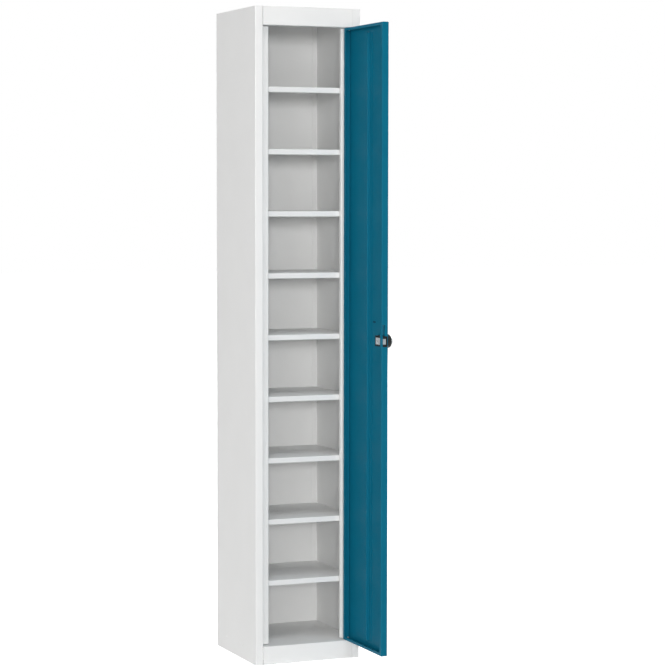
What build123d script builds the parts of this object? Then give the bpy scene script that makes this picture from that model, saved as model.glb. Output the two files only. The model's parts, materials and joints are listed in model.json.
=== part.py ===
from build123d import *
import os

# A tall, narrow steel locker with ten equal compartments behind one full-height door.
# X runs to the right, Y to the back and Z up, in millimetres.
# The front faces -Y, and the door is stored open at a right angle, as it is photographed.
# The pieces are drawn about the centre of the cabinet's footprint. They are stored about the
# ground under the middle of the box round the cabinet and its open door.

# Cabinet
cabinet_width = 305.0
cabinet_depth = 305.0
cabinet_height = 1780.0
sheet = 1.0
inside_bend = 1.0
weld_gap = 0.1
seam_gap = 0.4

# Front uprights, folded out of the side panels
stile_width = 22.0
stop_setback = 21.0
stop_width = 24.0
stop_lip = 12.0
stop_end_gap = 3.0
rear_flange = 15.0

# Top and floor panels, folded down at the front to form the header and the kick face
header_height = 50.0
kick_height = 50.0
rail_return = 24.0
rail_lip = 10.0
top_flange = 20.0
floor_flange = 25.0
back_edge_inset = 0.5

# Shelves
shelf_count = 9
shelf_raise = 6.0
shelf_setback = 36.0
shelf_lip = 15.0
shelf_lip_return = 8.0
shelf_flange = 12.0

# Door
door_side_gap = 2.0
door_end_gap = 1.5
door_depth = 18.0
door_side_lip = 12.0
door_end_lip = 8.0
open_angle = 90.0
pivot_from_edge = 6.0
pivot_from_face = 5.0
hat_width = 20.0
hat_height = 7.0
hat_flange = 16.0
hat_end_gap = 21.0

# Hinge pins, bushes and their plates
pin_radius = 2.5
pin_head_gap = 0.2
pin_head_height = 2.0
pin_tip_chamfer = 0.5
pin_engagement = 6.5
fixed_clearance = 0.05
running_clearance = 0.05
bush_wall = 1.15
bush_flange_radius = 4.5
bush_flange_height = 1.2
bush_end_proud = 1.0
bracket_side_gap = 1.0
bracket_length = 25.0
bracket_width = 19.0
bracket_thickness = 3.0
door_plate_thickness = 2.5
door_plate_length = 24.0
door_plate_width = 13.6
bend_room = 0.1

# Rivets that fix the floor panel to the sides
rivet_radius = 1.6
rivet_head_radius = 3.25
rivet_head_height = 1.0
rivet_tail_radius = 2.4
rivet_tail_length = 3.0
rivet_drop = 12.0
rivet_front_inset = 103.0
rivet_pitch = 124.0

# Lock
lock_height = 890.0
lock_from_edge = 25.0
knob_radius = 18.25
knob_height = 16.5
knob_rounding = 6.0
barrel_radius = 8.0
barrel_rim_radius = 9.5
barrel_rim_height = 3.0
plug_radius = 5.0
plug_running_gap = 0.05
key_slot_width = 1.6
key_slot_height = 7.0
key_slot_depth = 9.0
tail_radius = 3.6
tail_gap = 0.3
stub_side = 4.6
backplate_length = 58.0
backplate_height = 28.0
backplate_thickness = 1.5
case_length = 50.0
case_height = 28.0
case_depth = 12.8
case_wall = 6.5
case_front_wall = 1.2
cover_thickness = 1.2
cover_height = 18.0
cover_end_inset = 6.0
case_gap = 0.3
crank_radius = 5.5
crank_face_gap = 0.2
plug_end_gap = 0.1
crank_thickness = 2.0
crank_disc_radius = 7.1
crank_pin_radius = 1.4
crank_pin_length = 5.5
bolt_side_gap = 0.2
bolt_face_gap = 0.3
bolt_slot_gap = 0.4
bolt_tail = 2.5
bolt_end_room = 1.5
slot_floor_gap = 0.5
pin_end_gap = 1.0
strike_gap = 1.3
cam_slot_width = 7.0
cam_slot_height = 31.0
case_screw_radius = 1.5
case_screw_head_radius = 2.8
case_screw_head_height = 1.3
case_screw_slot_width = 0.8
case_screw_slot_depth = 0.7
case_screw_inset = 14.5
case_screw_spacing = 10.0
case_screw_grip = 7.0
case_screw_tip_room = 1.0
spare_hole_length = 18.0
spare_hole_height = 5.0
spare_hole_from_edge = 87.0
spare_hole_above_lock = 47.5
blanking_rim = 1.5
blanking_rim_height = 0.8

# How far a cutting shape runs past the surface that it cuts
overcut = 1.0

# Places that follow from the sizes above
outside_bend = inside_bend + sheet
half_width = cabinet_width / 2
front = -cabinet_depth / 2
back = cabinet_depth / 2
side_inner = half_width - sheet
stile_inner = half_width - stile_width
stop_front = front + stop_setback
stop_inner = stile_inner - stop_width
rail_back = front + rail_return
opening_low = kick_height
opening_high = cabinet_height - header_height
shelf_pitch = (opening_high - opening_low) / (shelf_count + 1)
panel_half_width = side_inner - weld_gap
rear_fold = back - sheet - weld_gap
tray_back = rear_fold - sheet - weld_gap
door_width = 2 * (stile_inner - door_side_gap)
door_low = opening_low + door_end_gap
door_high = opening_high - door_end_gap
door_edge = door_width / 2
door_inner = front + door_depth
skin_inner = front + sheet
pivot_x = door_edge - pivot_from_edge
pivot_y = front + pivot_from_face
lock_x = lock_from_edge - door_edge
backplate_inner = skin_inner + backplate_thickness
case_back = backplate_inner + case_depth
cover_back = case_back + cover_thickness
crank_front = backplate_inner + case_front_wall + crank_face_gap
crank_back = crank_front + crank_thickness
crank_offset = crank_radius * 2 ** -0.5
bolt_throw = 2 * crank_offset
case_end = case_length - door_edge
case_cavity_half = case_height / 2 - case_wall
bolt_half_height = case_cavity_half - bolt_side_gap
bolt_front = crank_back + bolt_face_gap
bolt_back = case_back - bolt_face_gap
bolt_slot_x = lock_x + crank_offset
bolt_slot_half = crank_pin_radius + bolt_slot_gap
bolt_end = bolt_slot_x + bolt_slot_half + bolt_tail
bush_radius = pin_radius + running_clearance + bush_wall
bush_length = sheet + door_plate_thickness + bush_end_proud
pin_head_radius = pivot_from_face - sheet - pin_head_gap


def box_between(low, high):
    """A box from its lowest corner to its highest corner."""
    size = [h - l for l, h in zip(low, high)]
    return Pos(*low) * Box(*size, align=(Align.MIN, Align.MIN, Align.MIN))


def cylinder_z(x, y, low, high, radius):
    return Pos(x, y, low) * Cylinder(radius, high - low, align=(Align.CENTER, Align.CENTER, Align.MIN))


def cylinder_y(x, z, low, high, radius):
    """A round bar along Y, from y = low to y = high."""
    bar = Cylinder(radius, high - low, align=(Align.CENTER, Align.CENTER, Align.MIN))
    return Pos(x, low, z) * Rot(-90, 0, 0) * bar


def cylinder_x(y, z, low, high, radius):
    """A round bar along X, from x = low to x = high."""
    bar = Cylinder(radius, high - low, align=(Align.CENTER, Align.CENTER, Align.MIN))
    return Pos(low, y, z) * Rot(0, 90, 0) * bar


def bent_sheet(points):
    """The section of a sheet bent along the points, with its thickness on their left."""
    path = [Vector(*point) for point in points]
    legs = [(b - a).normalized() for a, b in zip(path, path[1:])]
    normals = [Vector(-leg.Y, leg.X) for leg in legs]
    shifted = [path[0] + normals[0] * sheet]
    path_radii = [0]
    shifted_radii = [0]
    for place, before, after in zip(path[1:-1], normals, normals[1:]):
        shifted.append(place + (before + after) * (sheet / (1 + before.dot(after))))
        turns_left = before.X * after.Y - before.Y * after.X > 0
        path_radii.append(outside_bend if turns_left else inside_bend)
        shifted_radii.append(inside_bend if turns_left else outside_bend)
    shifted.append(path[-1] + normals[-1] * sheet)
    path_radii.append(0)
    shifted_radii.append(0)
    outline = path + shifted[::-1]
    return make_face(FilletPolyline(*outline, radius=path_radii + shifted_radii[::-1], close=True))


def rail_section(points, half_length):
    """A bent sheet drawn in Y and Z and run along X, centred on the cabinet."""
    return extrude(Plane.YZ * bent_sheet(points), amount=half_length, both=True)


def left_side_panel():
    """Side sheet, front upright, door stop and rear flange, all folded from one sheet."""
    section = bent_sheet([
        (-half_width + rear_flange, rear_fold),
        (-half_width, rear_fold),
        (-half_width, front),
        (-stile_inner, front),
        (-stile_inner, stop_front),
        (-stop_inner, stop_front),
        (-stop_inner, stop_front + stop_lip),
    ])
    panel = extrude(section, amount=cabinet_height)
    stop_low = opening_low + stop_end_gap
    stop_high = opening_high - stop_end_gap
    stop_reach = stop_front + stop_lip + sheet
    inward = -stop_inner + sheet
    panel -= box_between((-stile_inner, front, -sheet), (inward, stop_reach, stop_low))
    panel -= box_between((-stile_inner, front, stop_high), (inward, stop_reach, cabinet_height + sheet))
    covered = cabinet_height - sheet - weld_gap
    panel -= box_between(
        (-side_inner, front + outside_bend, covered), (inward, stop_reach, cabinet_height + sheet)
    )
    return panel - rivet_holes(-1)


def strike_slot():
    """The slot in the left upright that the lock's bolt enters when the door is closed."""
    half = bolt_half_height + strike_gap
    return box_between(
        (-stile_inner - 2 * sheet, bolt_front - strike_gap, lock_height - half),
        (-stile_inner + sheet, bolt_back + strike_gap, lock_height + half),
    )


def rivet_places():
    """The Y and Z of the two rivets on each side."""
    height = kick_height - rivet_drop
    return [(front + rivet_front_inset + step * rivet_pitch, height) for step in range(2)]


def rivet_holes(side):
    reach = sorted([side * (half_width + sheet), side * (half_width - 3 * sheet)])
    holes = [
        cylinder_x(y, z, reach[0], reach[1], rivet_radius + fixed_clearance)
        for y, z in rivet_places()
    ]
    return Part() + holes


def floor_rivets():
    """Four blind rivets, each with a low round head outside and a swelled tail inside."""
    rivets = []
    for y, z in rivet_places():
        shank_end = side_inner - weld_gap - sheet - rivet_tail_length
        rivet = cylinder_x(y, z, shank_end, half_width, rivet_radius)
        rivet += cylinder_x(y, z, shank_end, shank_end + rivet_tail_length, rivet_tail_radius)
        head = cylinder_x(y, z, half_width, half_width + rivet_head_height, rivet_head_radius)
        rim = head.edges().group_by(Axis.X)[-1]
        rivet += fillet(rim, rivet_head_height * 0.8)
        rivets.append(rivet)
        rivets.append(mirror(rivet, about=Plane.YZ))
    return Compound(children=[piece for rivet in rivets for piece in rivet.solids()])


def folded_tray(top, drop, y_front):
    """A level sheet with flanges folded down along both sides and its back edge."""
    section = bent_sheet([
        (panel_half_width, top - drop),
        (panel_half_width, top),
        (-panel_half_width, top),
        (-panel_half_width, top - drop),
    ])
    side_end = tray_back - outside_bend
    tray = Pos(0, y_front, 0) * extrude(Plane.XZ * section, amount=y_front - side_end)
    half = panel_half_width - outside_bend
    tray += box_between((-half, side_end - sheet, top - sheet), (half, tray_back, top))
    tray += box_between((-half, tray_back - sheet, top - drop), (half, tray_back, top))
    return tray


def top_panel():
    """Top sheet with the header face folded down in front and flanges on its other sides."""
    header_half = stile_inner - seam_gap
    header = rail_section([
        (rail_back, opening_high + rail_lip),
        (rail_back, opening_high),
        (front, opening_high),
        (front, cabinet_height),
        (rail_back + outside_bend, cabinet_height),
    ][::-1], header_half)
    panel = folded_tray(cabinet_height, top_flange, rail_back) + header
    panel += box_between(
        (-panel_half_width + inside_bend, front + outside_bend + weld_gap, cabinet_height - sheet),
        (panel_half_width - inside_bend, rail_back + sheet, cabinet_height),
    )
    return panel - hinge_hole(opening_high, opening_high + sheet)


def floor_panel():
    """Floor sheet with the kick face folded down in front and flanges on its other sides."""
    kick_half = stile_inner - seam_gap
    kick = rail_section([
        (rail_back + outside_bend, kick_height),
        (front, kick_height),
        (front, 0),
        (rail_back, 0),
        (rail_back, rail_lip),
    ], kick_half)
    panel = folded_tray(kick_height, floor_flange, rail_back) + kick
    panel -= hinge_hole(kick_height - sheet, kick_height)
    return panel - rivet_holes(-1) - rivet_holes(1)


def back_panel():
    """Plain sheet welded on the side panels' rear flanges."""
    edge = half_width - back_edge_inset
    return box_between((-edge, back - sheet, 0), (edge, back, cabinet_height))


def shelf(number):
    """Shelf with a plain folded lip in front and flanges down its sides and rear."""
    top = opening_low + shelf_raise + number * shelf_pitch
    shelf_front = front + shelf_setback
    lip = rail_section([
        (shelf_front + 3 * outside_bend, top),
        (shelf_front, top),
        (shelf_front, top - shelf_lip),
        (shelf_front + shelf_lip_return, top - shelf_lip),
    ], panel_half_width)
    tray_front = shelf_front + shelf_lip_return + 2 * weld_gap
    piece = folded_tray(top, shelf_flange, tray_front) + lip
    return piece + box_between(
        (-panel_half_width, shelf_front + outside_bend, top - sheet),
        (panel_half_width, tray_front + sheet, top),
    )


def hinge_hole(low, high):
    """The pin's hole through one level sheet of the cabinet."""
    radius = pin_radius + fixed_clearance
    return cylinder_z(pivot_x, pivot_y, low - sheet, high + sheet, radius)


def hinge_bracket(seat, direction):
    """Plate welded on the hidden side of the header or the floor, which stiffens it at the pin."""
    near = front + outside_bend + bend_room
    right = stile_inner - seam_gap - bracket_side_gap
    low, high = sorted([seat, seat + direction * bracket_thickness])
    plate = box_between((right - bracket_length, near, low), (right, near + bracket_width, high))
    return plate - hinge_hole(low, high)


def hinge_pin(seat, direction):
    """Headed pin, its head on the bracket and its shank reaching into the door."""
    head_seat = seat + direction * (sheet + bracket_thickness)
    tip = seat - direction * (door_end_gap + pin_engagement)
    low, high = sorted([head_seat, tip])
    pin = cylinder_z(pivot_x, pivot_y, low, high, pin_radius)
    tip_edges = pin.edges().group_by(Axis.Z)[0 if direction > 0 else -1]
    pin = chamfer(tip_edges, pin_tip_chamfer)
    low, high = sorted([head_seat, head_seat + direction * pin_head_height])
    return pin + cylinder_z(pivot_x, pivot_y, low, high, pin_head_radius)


def hinge_bush(door_end, direction):
    """Flanged bush, its flange in the gap above or below the door, where it carries the door."""
    low, high = sorted([door_end, door_end - direction * bush_length])
    bush = cylinder_z(pivot_x, pivot_y, low, high, bush_radius)
    low_flange, high_flange = sorted([door_end, door_end + direction * bush_flange_height])
    bush += cylinder_z(pivot_x, pivot_y, low_flange, high_flange, bush_flange_radius)
    bore = pin_radius + running_clearance
    bottom = min(low, low_flange) - overcut
    top = max(high, high_flange) + overcut
    return bush - cylinder_z(pivot_x, pivot_y, bottom, top, bore)


def door_hinge_plate(door_end, direction):
    """Plate welded inside the door's end flange, which holds the bush."""
    seat = door_end - direction * sheet
    low, high = sorted([seat, seat - direction * door_plate_thickness])
    near = skin_inner + inside_bend + bend_room
    right = door_edge - sheet - inside_bend - bend_room
    plate = box_between((right - door_plate_length, near, low), (right, near + door_plate_width, high))
    hole_radius = bush_radius + fixed_clearance
    return plate - cylinder_z(pivot_x, pivot_y, low - overcut, high + overcut, hole_radius)


def rounded_block(low, high, radius):
    block = box_between(low, high)
    return fillet(block.edges(), radius)


def door_skin():
    """The door's pan: face, four flanges and the lips folded in around its open side."""
    pan = rounded_block((-door_edge, front, door_low), (door_edge, door_inner, door_high), outside_bend)
    pan -= rounded_block(
        (-door_edge + sheet, skin_inner, door_low + sheet),
        (door_edge - sheet, door_inner - sheet, door_high - sheet),
        inside_bend,
    )
    pan -= box_between(
        (-door_edge + door_side_lip, door_inner - 2 * sheet, door_low + door_end_lip),
        (door_edge - door_side_lip, door_inner + sheet, door_high - door_end_lip),
    )
    for end, inward in ((door_low, 1), (door_high, -1)):
        low, high = sorted([end - inward, end + inward * 2 * sheet])
        pan -= cylinder_z(pivot_x, pivot_y, low, high, bush_radius + fixed_clearance)
    pan -= case_opening()
    pan -= cam_slot()
    barrel_hole = barrel_radius + fixed_clearance
    pan -= cylinder_y(lock_x, lock_height, front - overcut, skin_inner + overcut, barrel_hole)
    pan -= case_screw_holes(front - overcut, skin_inner + overcut)
    return pan - spare_hole()


def case_opening():
    """The opening in the door's free edge that the end of the lock case fills."""
    half = case_height / 2 + case_gap
    return box_between(
        (-door_edge - overcut, backplate_inner - case_gap, lock_height - half),
        (-door_edge + 1.5 * sheet, case_back + case_gap, lock_height + half),
    )


def cam_slot():
    """The narrow slot above the lock in the door's free edge."""
    low = lock_height + case_height / 2 - case_gap
    middle = cover_back - cam_slot_width / 2
    return box_between(
        (-door_edge - overcut, middle - cam_slot_width / 2, low),
        (-door_edge + 1.5 * sheet, middle + cam_slot_width / 2, low + cam_slot_height),
    )


def slot_bar(low, high, growth):
    """A round-ended bar on the spare hole's axis, larger all round than the hole by growth."""
    x = spare_hole_from_edge - door_edge
    outline = SlotOverall(spare_hole_length + 2 * growth, spare_hole_height + 2 * growth)
    bar = extrude(outline, amount=high - low)
    return Pos(x, high, lock_height + spare_hole_above_lock) * Rot(90, 0, 0) * bar


def spare_hole():
    """The small slot through the door's face, above the lock."""
    return slot_bar(front - overcut, skin_inner + overcut, 0)


def blanking_plug():
    """Plug pressed into the spare hole, its rim on the door's face."""
    plug = slot_bar(front - blanking_rim_height, front, blanking_rim)
    return plug + slot_bar(front, skin_inner, -fixed_clearance)


def door_stiffener():
    """Top-hat channel welded up the middle of the door's face."""
    base = skin_inner + weld_gap
    half = hat_width / 2
    foot = half + hat_flange
    crown = base + hat_height - sheet
    section = bent_sheet([
        (-foot, base),
        (-half + sheet, base),
        (-half + sheet, crown),
        (half - sheet, crown),
        (half - sheet, base),
        (foot, base),
    ])
    length = door_high - door_low - 2 * hat_end_gap
    return Pos(0, 0, door_low + hat_end_gap) * extrude(section, amount=length)


def lock_knob():
    """Round black grip on the door's face, bored for the lock barrel."""
    knob = cylinder_y(lock_x, lock_height, front - knob_height, front, knob_radius)
    knob = fillet(knob.edges().group_by(Axis.Y)[0], knob_rounding)
    bore = barrel_radius + fixed_clearance
    face = front - knob_height
    knob -= cylinder_y(lock_x, lock_height, face - overcut, front + overcut, bore)
    return knob - case_screw_holes(front - case_screw_grip - case_screw_tip_room, front + overcut)


def lock_barrel():
    """Fixed sleeve through the knob and the door, with a raised collar on the knob's face."""
    face = front - knob_height
    barrel = cylinder_y(lock_x, lock_height, face, backplate_inner, barrel_radius)
    barrel += cylinder_y(lock_x, lock_height, face - barrel_rim_height, face, barrel_rim_radius)
    bore = plug_radius + plug_running_gap
    start = face - barrel_rim_height - overcut
    return barrel - cylinder_y(lock_x, lock_height, start, backplate_inner + overcut, bore)


def key_plug():
    """The part that the key turns, with the key slot in its face and a square stub behind."""
    face = front - knob_height - barrel_rim_height
    shoulder = backplate_inner - plug_end_gap
    plug = cylinder_y(lock_x, lock_height, face, shoulder, plug_radius)
    plug += cylinder_y(lock_x, lock_height, shoulder, crank_front, tail_radius)
    half_stub = stub_side / 2
    plug += box_between(
        (lock_x - half_stub, crank_front, lock_height - half_stub),
        (lock_x + half_stub, crank_back, lock_height + half_stub),
    )
    plug -= box_between(
        (lock_x - key_slot_width / 2, face - overcut, lock_height - key_slot_height / 2),
        (lock_x + key_slot_width / 2, face + key_slot_depth, lock_height + key_slot_height / 2),
    )
    return plug


def lock_crank():
    """Disc on the plug's stub, with the pin that drives the bolt."""
    half_hole = stub_side / 2 + fixed_clearance
    disc = cylinder_y(lock_x, lock_height, crank_front, crank_back, crank_disc_radius)
    disc -= box_between(
        (lock_x - half_hole, crank_front - overcut, lock_height - half_hole),
        (lock_x + half_hole, crank_back + overcut, lock_height + half_hole),
    )
    pin_x = lock_x + crank_offset
    pin_z = lock_height + crank_offset
    return disc + cylinder_y(pin_x, pin_z, crank_front, crank_back + crank_pin_length, crank_pin_radius)


def lock_bolt():
    """Bolt that slides out of the door's free edge, notched for the crank's pin."""
    bolt = box_between(
        (-door_edge, bolt_front, lock_height - bolt_half_height),
        (bolt_end, bolt_back, lock_height + bolt_half_height),
    )
    notch_low = lock_height + crank_offset - crank_pin_radius - slot_floor_gap
    notch_back = crank_back + crank_pin_length + pin_end_gap
    notch = box_between(
        (bolt_slot_x - bolt_slot_half, bolt_front - overcut, notch_low),
        (bolt_slot_x + bolt_slot_half, notch_back, lock_height + bolt_half_height + overcut),
    )
    return bolt - notch


def lock_case():
    """Black case of the lock, with a channel for the bolt, open at the door's edge and behind."""
    case = box_between(
        (-door_edge, backplate_inner, lock_height - case_height / 2),
        (case_end, case_back, lock_height + case_height / 2),
    )
    case -= box_between(
        (-door_edge - overcut, backplate_inner + case_front_wall, lock_height - case_cavity_half),
        (bolt_end + bolt_end_room, case_back + overcut, lock_height + case_cavity_half),
    )
    tail_hole = tail_radius + tail_gap
    case -= cylinder_y(lock_x, lock_height, backplate_inner - overcut, crank_front, tail_hole)
    return case - case_screw_holes(backplate_inner - overcut, case_back + overcut)


def lock_cover():
    """Plated plate that closes the channel of the lock case, smaller all round than the case."""
    start = -door_edge + sheet + inside_bend + bend_room
    cover = box_between(
        (start, case_back, lock_height - cover_height / 2),
        (case_end - cover_end_inset, cover_back, lock_height + cover_height / 2),
    )
    return cover - case_screw_holes(case_back - overcut, cover_back + overcut)


def lock_backplate():
    """Black plate between the lock case and the door's face."""
    start = -door_edge + sheet + inside_bend + bend_room
    plate = box_between(
        (start, skin_inner, lock_height - backplate_height / 2),
        (start + backplate_length, backplate_inner, lock_height + backplate_height / 2),
    )
    hole = barrel_radius + fixed_clearance
    low = skin_inner - overcut
    high = backplate_inner + overcut
    plate -= cylinder_y(lock_x, lock_height, low, high, hole)
    return plate - case_screw_holes(low, high)


def case_screw_places():
    x = lock_x + case_screw_inset
    return [(x, lock_height - case_screw_spacing / 2), (x, lock_height + case_screw_spacing / 2)]


def case_screw_holes(low, high):
    radius = case_screw_radius + fixed_clearance
    return Part() + [cylinder_y(x, z, low, high, radius) for x, z in case_screw_places()]


def case_screws():
    """Two screws from the cover through the door's face into the knob."""
    screws = []
    for x, z in case_screw_places():
        screw = cylinder_y(x, z, front - case_screw_grip, cover_back, case_screw_radius)
        head_back = cover_back + case_screw_head_height
        head = cylinder_y(x, z, cover_back, head_back, case_screw_head_radius)
        half_slot = case_screw_slot_width / 2
        head -= box_between(
            (x - case_screw_head_radius, head_back - case_screw_slot_depth, z - half_slot),
            (x + case_screw_head_radius, head_back + overcut, z + half_slot),
        )
        screws += (screw + head).solids()
    return Compound(children=screws)


def opened(piece):
    """Turn a piece of the closed door about the hinge axis, to the stored open place."""
    axis_place = Pos(pivot_x, pivot_y, 0)
    return axis_place * Rot(0, 0, open_angle) * axis_place.inverse() * piece


def stored(pieces, reach):
    """Move all the pieces so that the origin is under the middle of their box."""
    shift = Pos(0, -(back + reach) / 2, 0)
    return {name: shift * piece for name, piece in pieces.items()}


def cabinet_nodes():
    side = left_side_panel()
    nodes = {
        "left_side_panel": side - strike_slot(),
        "right_side_panel": mirror(side, about=Plane.YZ),
        "back_panel": back_panel(),
        "top_panel": top_panel(),
        "floor_panel": floor_panel(),
        "floor_rivets": floor_rivets(),
        "hinge_bracket_top": hinge_bracket(opening_high + sheet, 1),
        "hinge_bracket_bottom": hinge_bracket(kick_height - sheet, -1),
        "hinge_pin_top": hinge_pin(opening_high, 1),
        "hinge_pin_bottom": hinge_pin(kick_height, -1),
    }
    for number in range(1, shelf_count + 1):
        nodes[f"shelf_{number}"] = shelf(number)
    return nodes


def door_nodes():
    closed = {
        "door_skin": door_skin(),
        "door_stiffener": door_stiffener(),
        "door_hinge_plate_top": door_hinge_plate(door_high, 1),
        "door_hinge_plate_bottom": door_hinge_plate(door_low, -1),
        "hinge_bush_top": hinge_bush(door_high, 1),
        "hinge_bush_bottom": hinge_bush(door_low, -1),
        "lock_knob": lock_knob(),
        "lock_barrel": lock_barrel(),
        "lock_backplate": lock_backplate(),
        "lock_case": lock_case(),
        "lock_cover": lock_cover(),
        "lock_case_screws": case_screws(),
        "blanking_plug": blanking_plug(),
        "key_plug": key_plug(),
        "lock_crank": lock_crank(),
        "lock_bolt": lock_bolt(),
    }
    return {name: opened(piece) for name, piece in closed.items()}


def main():
    os.makedirs("parts", exist_ok=True)
    door = door_nodes()
    door_reach = door["door_skin"].bounding_box().min.Y
    for name, piece in stored({**cabinet_nodes(), **door}, door_reach).items():
        export_step(piece, f"parts/{name}.step")
        low = [round(value, 2) for value in piece.bounding_box().min]
        print(name, low, round(piece.volume, 1))
    shift = -(back + door_reach) / 2
    print("hinge axis", pivot_x, pivot_y + shift, "lock axis y", pivot_y + lock_x - pivot_x + shift)
    print("bolt throw", bolt_throw)


main()
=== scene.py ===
import json
import math

import bpy
from mathutils import Matrix, Vector

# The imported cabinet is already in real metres, so this script adds its finishes, the light and the camera.
# The front faces -Y and the door is stored open at a right angle.

MM = 0.001
WHITE = "#FFFFFF"

# Camera, fitted to the cabinet's and the door's edges in the photograph
PHOTO_SIZE = 665
FOCAL_PIXELS = 2231.3
SENSOR_MM = 36.0
CAMERA_PLACE = (-2.2904, -5.6279, 1.2732)
CAMERA_YAW = math.radians(22.88)
CAMERA_PITCH = math.radians(3.50)
CAMERA_ROLL = math.radians(0.07)

# Floor and surroundings. The glow and the white show to the camera and in mirrors, and light nothing.
FLOOR_SIZE = 60.0
FLOOR_COLOUR = "#F2F2F2"
FLOOR_GLOW = 0.90
WORLD_LIGHT = 0.18
WORLD_WHITE = 1.0

# Square soft boxes, all turned to the middle of the cabinet: name, place, side in metres, power in watts
LAMP_TARGET = (0.0, 0.1, 0.9)
LAMPS = [
    ("front_softbox", (-2.2, -13.0, 2.4), 4.0, 90),
    ("quarter_softbox", (-4.5, -12.3, 2.4), 1.6, 500),
    ("side_softbox", (-8.5, -9.0, 2.3), 4.0, 60),
    ("left_softbox", (-6.0, -1.5, 1.2), 3.0, 92),
    ("near_softbox", (-1.2, -2.2, 0.9), 1.2, 4),
    ("top_softbox", (-0.8, -4.2, 8.0), 4.0, 225),
    ("back_softbox", (8.0, 8.0, 2.5), 4.0, 700),
]

# Powder coat: clouds in its colour, patches in its shine, the sheet's slow waves and an orange peel
COAT_CLOUD = 90 * MM
COAT_SHINE_PATCH = 35 * MM
COAT_SMOOTHER = 0.03
COAT_ROUGHER = 0.04
COAT_IOR = 1.5
SHEET_WAVE = 160 * MM
SHEET_WAVE_DEPTH = 0.5 * MM
SHEET_WAVE_STRENGTH = 0.5
ORANGE_PEEL = 2.2 * MM
ORANGE_PEEL_DEPTH = 0.012 * MM
ORANGE_PEEL_STRENGTH = 0.6

# Plated and cast metal: patches in its colour and shine, and a fine grain
METAL_PATCH = 9 * MM
METAL_SMOOTHER = 0.04
METAL_ROUGHER = 0.06
METAL_GRAIN_DEPTH = 0.01 * MM
METAL_GRAIN_STRENGTH = 0.5

# Moulded plastic: patches in its colour and shine, and the mould's grain
PLASTIC_PATCH = 12 * MM
PLASTIC_SMOOTHER = 0.04
PLASTIC_ROUGHER = 0.05
PLASTIC_IOR = 1.53
PLASTIC_GRAIN_DEPTH = 0.01 * MM
PLASTIC_GRAIN_STRENGTH = 0.6


def colour(hex_text):
    """A colour written as sRGB hex, turned to the linear values that shaders take."""
    channels = [int(hex_text[start:start + 2], 16) / 255 for start in (1, 3, 5)]
    linear = [c / 12.92 if c <= 0.04045 else ((c + 0.055) / 1.055) ** 2.4 for c in channels]
    return (*linear, 1.0)


def add_node(tree, kind, settings=None, inputs=None, links=None):
    """Add one node with its settings, input values and the sockets that feed it."""
    node = tree.nodes.new(kind)
    for name, value in (settings or {}).items():
        setattr(node, name, value)
    for name, value in (inputs or {}).items():
        node.inputs[name].default_value = value
    for name, socket in (links or {}).items():
        tree.links.new(socket, node.inputs[name])
    return node


def new_finish(name):
    """A material with no nodes yet."""
    finish = bpy.data.materials.new(name)
    finish.use_nodes = True
    finish.node_tree.nodes.clear()
    return finish


def powder_coat(name, first, second, roughness, specular):
    """Polyester powder coat, sprayed on sheet steel and baked.

    The eye gets an even colour with a soft shine, a faint orange peel, and the slow
    waves of the thin sheet under it.
    """
    finish = new_finish(name)
    tree = finish.node_tree
    place = add_node(tree, "ShaderNodeTexCoord").outputs["Object"]
    cloud = add_node(
        tree, "ShaderNodeTexNoise", inputs={"Scale": 1 / COAT_CLOUD, "Detail": 3.0}, links={"Vector": place}
    )
    tint = add_node(
        tree, "ShaderNodeMix", {"data_type": "RGBA"},
        inputs={"A": colour(first), "B": colour(second)}, links={"Factor": cloud.outputs["Fac"]},
    )
    patches = add_node(
        tree, "ShaderNodeTexNoise", inputs={"Scale": 1 / COAT_SHINE_PATCH, "Detail": 2.0},
        links={"Vector": place},
    )
    shine = add_node(
        tree, "ShaderNodeMapRange",
        inputs={"To Min": roughness - COAT_SMOOTHER, "To Max": roughness + COAT_ROUGHER},
        links={"Value": patches.outputs["Fac"]},
    )
    sheet_wave = add_node(
        tree, "ShaderNodeTexNoise", inputs={"Scale": 1 / SHEET_WAVE, "Detail": 1.0}, links={"Vector": place}
    )
    waved = add_node(
        tree, "ShaderNodeBump", inputs={"Distance": SHEET_WAVE_DEPTH, "Strength": SHEET_WAVE_STRENGTH},
        links={"Height": sheet_wave.outputs["Fac"]},
    )
    orange_peel = add_node(
        tree, "ShaderNodeTexNoise", inputs={"Scale": 1 / ORANGE_PEEL, "Detail": 1.0}, links={"Vector": place}
    )
    peeled = add_node(
        tree, "ShaderNodeBump", inputs={"Distance": ORANGE_PEEL_DEPTH, "Strength": ORANGE_PEEL_STRENGTH},
        links={"Height": orange_peel.outputs["Fac"], "Normal": waved.outputs["Normal"]},
    )
    shader = add_node(
        tree, "ShaderNodeBsdfPrincipled", inputs={"IOR": COAT_IOR, "Specular IOR Level": specular},
        links={
            "Base Color": tint.outputs["Result"],
            "Roughness": shine.outputs["Result"],
            "Normal": peeled.outputs["Normal"],
        },
    )
    add_node(tree, "ShaderNodeOutputMaterial", links={"Surface": shader.outputs["BSDF"]})
    return finish


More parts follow.
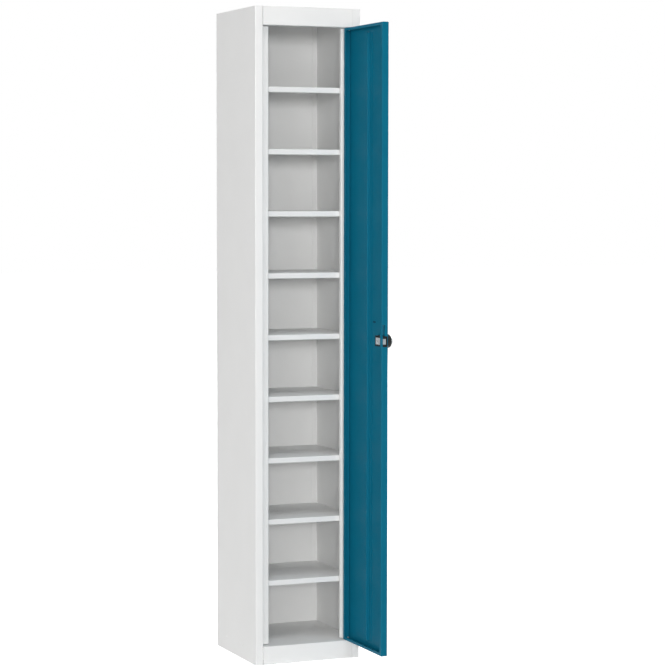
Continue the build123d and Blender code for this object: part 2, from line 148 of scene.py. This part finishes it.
def satin_metal(name, first, second, roughness, grain, grain_stretch=(1, 1, 1)):
    """Nickel or zinc plating on steel, or a zinc casting with a satin face.

    The eye gets a metal mirror, softened by a fine grain, drawn a little coarser than the real one.
    """
    finish = new_finish(name)
    tree = finish.node_tree
    place = add_node(tree, "ShaderNodeTexCoord").outputs["Object"]
    patches = add_node(
        tree, "ShaderNodeTexNoise", inputs={"Scale": 1 / METAL_PATCH, "Detail": 2.0}, links={"Vector": place}
    )
    tint = add_node(
        tree, "ShaderNodeMix", {"data_type": "RGBA"},
        inputs={"A": colour(first), "B": colour(second)}, links={"Factor": patches.outputs["Fac"]},
    )
    shine = add_node(
        tree, "ShaderNodeMapRange",
        inputs={"To Min": roughness - METAL_SMOOTHER, "To Max": roughness + METAL_ROUGHER},
        links={"Value": patches.outputs["Fac"]},
    )
    drawn = add_node(tree, "ShaderNodeMapping", inputs={"Scale": grain_stretch}, links={"Vector": place})
    fine_grain = add_node(
        tree, "ShaderNodeTexNoise", inputs={"Scale": 1 / grain, "Detail": 2.0},
        links={"Vector": drawn.outputs["Vector"]},
    )
    grained = add_node(
        tree, "ShaderNodeBump", inputs={"Distance": METAL_GRAIN_DEPTH, "Strength": METAL_GRAIN_STRENGTH},
        links={"Height": fine_grain.outputs["Fac"]},
    )
    shader = add_node(
        tree, "ShaderNodeBsdfPrincipled", inputs={"Metallic": 1.0},
        links={
            "Base Color": tint.outputs["Result"],
            "Roughness": shine.outputs["Result"],
            "Normal": grained.outputs["Normal"],
        },
    )
    add_node(tree, "ShaderNodeOutputMaterial", links={"Surface": shader.outputs["BSDF"]})
    return finish


def moulded_plastic(name, first, second, roughness, specular, grain):
    """Injection-moulded plastic.

    The eye gets a dark even skin with the fine grain of the mould, drawn coarser than the real one.
    """
    finish = new_finish(name)
    tree = finish.node_tree
    place = add_node(tree, "ShaderNodeTexCoord").outputs["Object"]
    patches = add_node(
        tree, "ShaderNodeTexNoise", inputs={"Scale": 1 / PLASTIC_PATCH, "Detail": 2.0},
        links={"Vector": place},
    )
    tint = add_node(
        tree, "ShaderNodeMix", {"data_type": "RGBA"},
        inputs={"A": colour(first), "B": colour(second)}, links={"Factor": patches.outputs["Fac"]},
    )
    shine = add_node(
        tree, "ShaderNodeMapRange",
        inputs={"To Min": roughness - PLASTIC_SMOOTHER, "To Max": roughness + PLASTIC_ROUGHER},
        links={"Value": patches.outputs["Fac"]},
    )
    mould_grain = add_node(
        tree, "ShaderNodeTexNoise", inputs={"Scale": 1 / grain, "Detail": 2.0}, links={"Vector": place}
    )
    grained = add_node(
        tree, "ShaderNodeBump", inputs={"Distance": PLASTIC_GRAIN_DEPTH, "Strength": PLASTIC_GRAIN_STRENGTH},
        links={"Height": mould_grain.outputs["Fac"]},
    )
    shader = add_node(
        tree, "ShaderNodeBsdfPrincipled", inputs={"IOR": PLASTIC_IOR, "Specular IOR Level": specular},
        links={
            "Base Color": tint.outputs["Result"],
            "Roughness": shine.outputs["Result"],
            "Normal": grained.outputs["Normal"],
        },
    )
    add_node(tree, "ShaderNodeOutputMaterial", links={"Surface": shader.outputs["BSDF"]})
    return finish


def dress_cabinet(frame):
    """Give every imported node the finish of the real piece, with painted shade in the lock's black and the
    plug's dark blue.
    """
    finishes = {
        # Nearly white, with a soft shine
        "cabinet_paint": powder_coat(
            "light grey powder coat", "#F1F1F0", "#EDEDEC", roughness=0.42, specular=0.25
        ),
        # Deep blue that stays dark, because it mirrors little
        "door_paint": powder_coat(
            "blue powder coat", "#0D6D88", "#0A6681", roughness=0.42, specular=0.06
        ),
        # The plate inside the door, a light and even metal
        "lock_plating": satin_metal(
            "satin nickel plated steel", "#E4E7E9", "#DADEE0", roughness=0.42, grain=0.8 * MM
        ),
        # Barrel, key plug, crank and bolt, greyer than the plate
        "lock_steel": satin_metal(
            "satin zinc alloy casting", "#969EA2", "#8A9296", roughness=0.42, grain=0.8 * MM
        ),
        # Hinge pins and screws, brighter, with a grain that runs round the pins as turning leaves it
        "zinc_plated_steel": satin_metal(
            "zinc plated steel", "#B9BDC2", "#A9ADB4", roughness=0.32, grain=0.5 * MM, grain_stretch=(1, 1, 4)
        ),
        # The round grip, black with a clear small highlight
        "knob_plastic": moulded_plastic(
            "black moulded ABS", "#101415", "#161B1C", roughness=0.30, specular=0.25, grain=0.6 * MM
        ),
        # The lock's case and backplate, a duller black than the grip; the black also paints the shade that
        # falls round the lock's plate
        "black_painted_steel": powder_coat(
            "black powder coat as painted shade", "#0F1214", "#14181A", roughness=0.5, specular=0.2
        ),
        # Hinge bushes, a waxy black
        "bush_plastic": moulded_plastic(
            "black acetal", "#191A1B", "#222324", roughness=0.45, specular=0.5, grain=0.8 * MM
        ),
        # The press-in plug, darker than the door, so its colour paints the shade of the hole it fills
        "plug_plastic": moulded_plastic(
            "dark blue polyethylene as painted shade", "#08394C", "#0A4054", roughness=0.50, specular=0.06, grain=0.8 * MM
        ),
    }
    for part in frame["record"]["subparts"]:
        piece = frame["nodes"][part["node"]]
        piece.data.materials.clear()
        piece.data.materials.append(finishes[part["material_slot"]])


def seen_directly(tree):
    """1 for rays from the camera, from a mirror or through glass, and 0 for rays that carry light."""
    path = add_node(tree, "ShaderNodeLightPath")
    camera_or_mirror = add_node(
        tree, "ShaderNodeMath", {"operation": "MAXIMUM"},
        links={0: path.outputs["Is Camera Ray"], 1: path.outputs["Is Glossy Ray"]},
    )
    any_of_them = add_node(
        tree, "ShaderNodeMath", {"operation": "MAXIMUM"},
        links={0: camera_or_mirror.outputs["Value"], 1: path.outputs["Is Transmission Ray"]},
    )
    return any_of_them.outputs["Value"]


def add_floor():
    """A wide white floor, whose colour shows as white while it keeps the cabinet's soft shadow."""
    bpy.ops.mesh.primitive_plane_add(size=FLOOR_SIZE)
    floor = bpy.context.object
    floor.name = "studio_floor"
    finish = new_finish("white studio floor")
    tree = finish.node_tree
    lit = add_node(tree, "ShaderNodeBsdfDiffuse", inputs={"Color": colour(FLOOR_COLOUR)})
    glow = add_node(tree, "ShaderNodeEmission", inputs={"Color": colour(WHITE), "Strength": FLOOR_GLOW})
    both = add_node(
        tree, "ShaderNodeAddShader", links={0: lit.outputs["BSDF"], 1: glow.outputs["Emission"]}
    )
    mix = add_node(
        tree, "ShaderNodeMixShader",
        links={0: seen_directly(tree), 1: lit.outputs["BSDF"], 2: both.outputs["Shader"]},
    )
    add_node(tree, "ShaderNodeOutputMaterial", links={"Surface": mix.outputs["Shader"]})
    floor.data.materials.append(finish)


def add_world():
    """Even surroundings, which the camera and every mirror see as plain white."""
    world = bpy.data.worlds.new("studio")
    bpy.context.scene.world = world
    world.use_nodes = True
    tree = world.node_tree
    tree.nodes.clear()
    light = add_node(
        tree, "ShaderNodeBackground", inputs={"Color": colour(WHITE), "Strength": WORLD_LIGHT}
    )
    white = add_node(
        tree, "ShaderNodeBackground", inputs={"Color": colour(WHITE), "Strength": WORLD_WHITE}
    )
    mix = add_node(
        tree, "ShaderNodeMixShader",
        links={0: seen_directly(tree), 1: light.outputs["Background"], 2: white.outputs["Background"]},
    )
    add_node(tree, "ShaderNodeOutputWorld", links={"Surface": mix.outputs["Shader"]})


def add_lamp(name, place, size, power):
    """A square soft box turned to the middle of the cabinet."""
    lamp_data = bpy.data.lights.new(name, "AREA")
    lamp_data.shape = "SQUARE"
    lamp_data.size = size
    lamp_data.energy = power
    lamp = bpy.data.objects.new(name, lamp_data)
    bpy.context.scene.collection.objects.link(lamp)
    lamp.location = place
    aim = Vector(LAMP_TARGET) - Vector(place)
    lamp.rotation_euler = aim.to_track_quat("-Z", "Y").to_euler()


def add_camera():
    """The camera that the fit to the photograph's edges gave: yaw from +Y to +X, pitch down, then roll."""
    lens = bpy.data.cameras.new("photo_camera")
    lens.sensor_width = SENSOR_MM
    lens.lens = FOCAL_PIXELS / PHOTO_SIZE * SENSOR_MM
    camera = bpy.data.objects.new("photo_camera", lens)
    bpy.context.scene.collection.objects.link(camera)
    level_part = math.cos(CAMERA_PITCH)
    forward = Vector((
        math.sin(CAMERA_YAW) * level_part, math.cos(CAMERA_YAW) * level_part, -math.sin(CAMERA_PITCH)
    ))
    flat_right = forward.cross(Vector((0, 0, 1))).normalized()
    flat_up = flat_right.cross(forward)
    right = math.cos(CAMERA_ROLL) * flat_right + math.sin(CAMERA_ROLL) * flat_up
    up = math.cos(CAMERA_ROLL) * flat_up - math.sin(CAMERA_ROLL) * flat_right
    turn = Matrix((right, up, -forward)).transposed().to_4x4()
    camera.matrix_world = Matrix.Translation(CAMERA_PLACE) @ turn
    bpy.context.scene.camera = camera


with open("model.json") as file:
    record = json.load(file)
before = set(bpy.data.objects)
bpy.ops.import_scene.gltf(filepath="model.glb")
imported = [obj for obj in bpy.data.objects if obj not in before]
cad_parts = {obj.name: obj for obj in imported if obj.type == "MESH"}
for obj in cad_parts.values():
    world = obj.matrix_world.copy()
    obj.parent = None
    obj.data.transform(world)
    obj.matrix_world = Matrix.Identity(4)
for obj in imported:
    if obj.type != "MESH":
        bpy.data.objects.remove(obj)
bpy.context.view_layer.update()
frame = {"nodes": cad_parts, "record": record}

dress_cabinet(frame)
add_floor()
add_world()
for name, place, size, power in LAMPS:
    add_lamp(name, place, size, power)
add_camera()

bpy.context.scene.view_settings.view_transform = "Standard"
